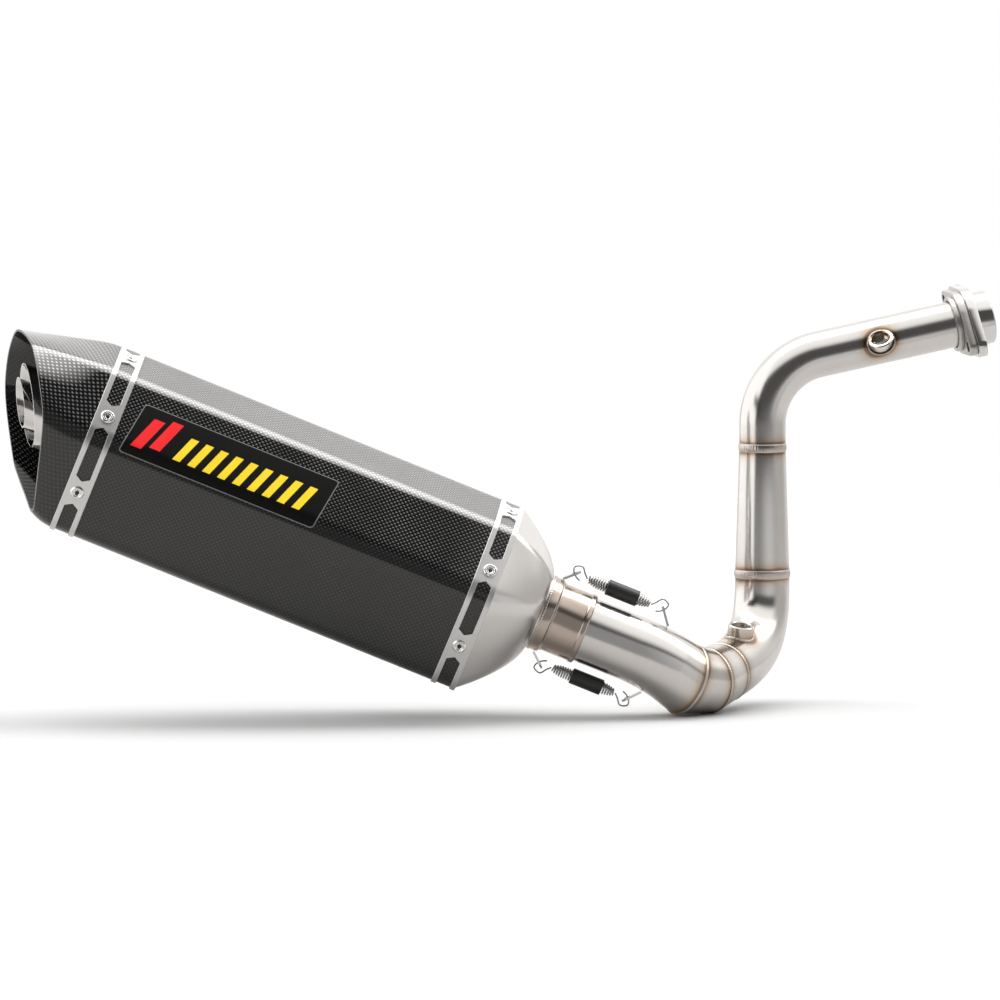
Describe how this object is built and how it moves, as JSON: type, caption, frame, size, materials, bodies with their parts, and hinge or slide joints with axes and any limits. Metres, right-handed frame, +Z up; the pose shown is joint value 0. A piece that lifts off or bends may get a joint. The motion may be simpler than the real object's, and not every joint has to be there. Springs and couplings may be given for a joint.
{
  "type": "motorcycle exhaust system",
  "caption": "Full racing exhaust: flanged header with a segmented elbow, slip joint held by springs, and a six-sided carbon silencer with a slash-cut outlet.",
  "frame": {"origin": "centre of the bounding box in plan, on its lowest plane", "axes": "+X towards the vehicle's front and the cylinder head, +Y from the silencer's outer side towards the vehicle, +Z up"},
  "size_m": [0.7904, 0.2536, 0.3286],
  "materials": {
    "carbon_weave": "plain-weave carbon fibre under clear lacquer",
    "satin_steel": "satin stainless steel, faint heat tint at the welds",
    "bright_steel": "polished stainless steel",
    "black_rubber": "smooth moulded rubber",
    "packing_fibre": "loose basalt or glass fibre wool",
    "badge_film": "printed film with plain slanted bars"
  },
  "bodies": {
    "header": {"head_spigot": "bright_steel", "header_pipe": "satin_steel", "front_sensor_boss": "satin_steel", "riser_cone": "satin_steel", "lower_bend": "satin_steel", "rear_sensor_boss": "satin_steel", "elbow_segment_front": "satin_steel", "elbow_segment_rear": "satin_steel", "link_pipe": "satin_steel", "upper_link_tab": "satin_steel", "lower_link_tab": "satin_steel", "upper_spring": "bright_steel", "lower_spring": "bright_steel"},
    "flange": {"head_flange": "satin_steel"},
    "silencer": {"carbon_sleeve": "carbon_weave", "rear_strap": "satin_steel", "front_strap": "satin_steel", "rear_rivet_1": "bright_steel", "rear_rivet_2": "bright_steel", "rear_rivet_3": "bright_steel", "rear_rivet_4": "bright_steel", "rear_rivet_5": "bright_steel", "rear_rivet_6": "bright_steel", "front_rivet_1": "bright_steel", "front_rivet_2": "bright_steel", "front_rivet_3": "bright_steel", "front_rivet_4": "bright_steel", "front_rivet_5": "bright_steel", "front_rivet_6": "bright_steel", "rear_baffle": "satin_steel", "front_baffle": "satin_steel", "perforated_core": "satin_steel", "packing": "packing_fibre", "end_cap": "carbon_weave", "outlet_tube": "bright_steel", "outlet_inner_tube": "bright_steel", "inlet_cap": "satin_steel", "inlet_sleeve": "satin_steel", "badge_plate": "badge_film", "hanger_bracket": "satin_steel", "upper_silencer_tab": "satin_steel", "lower_silencer_tab": "satin_steel"},
    "upper_sleeve": {"upper_rubber_sleeve": "black_rubber"},
    "lower_sleeve": {"lower_rubber_sleeve": "black_rubber"}
  },
  "joints": [
    {"name": "flange_spin", "type": "hinge", "parent": "header", "child": "flange", "pos_m": [0.36685, 0.09057, 0.29983], "axis": [0.9581, 0.2089, 0.1959], "continuous": true},
    {"name": "silencer_slip", "type": "slide", "parent": "header", "child": "silencer", "axis": [-0.9272, 0, 0.3746], "range_m": [0, 0.012], "stiffness_N_per_m": 6000, "springref_m": -0.01, "deforming": ["upper_spring", "lower_spring"]},
    {"name": "upper_sleeve_slide", "type": "slide", "parent": "header", "child": "upper_sleeve", "axis": [-0.9272, 0, 0.3746], "range_m": [0, 0.006]},
    {"name": "lower_sleeve_slide", "type": "slide", "parent": "header", "child": "lower_sleeve", "axis": [-0.9272, 0, 0.3746], "range_m": [0, 0.006]}
  ],
  "couplings": [
    {"joint": "upper_sleeve_slide", "follows": "silencer_slip", "ratio": 0.5},
    {"joint": "lower_sleeve_slide", "follows": "silencer_slip", "ratio": 0.5}
  ]
}
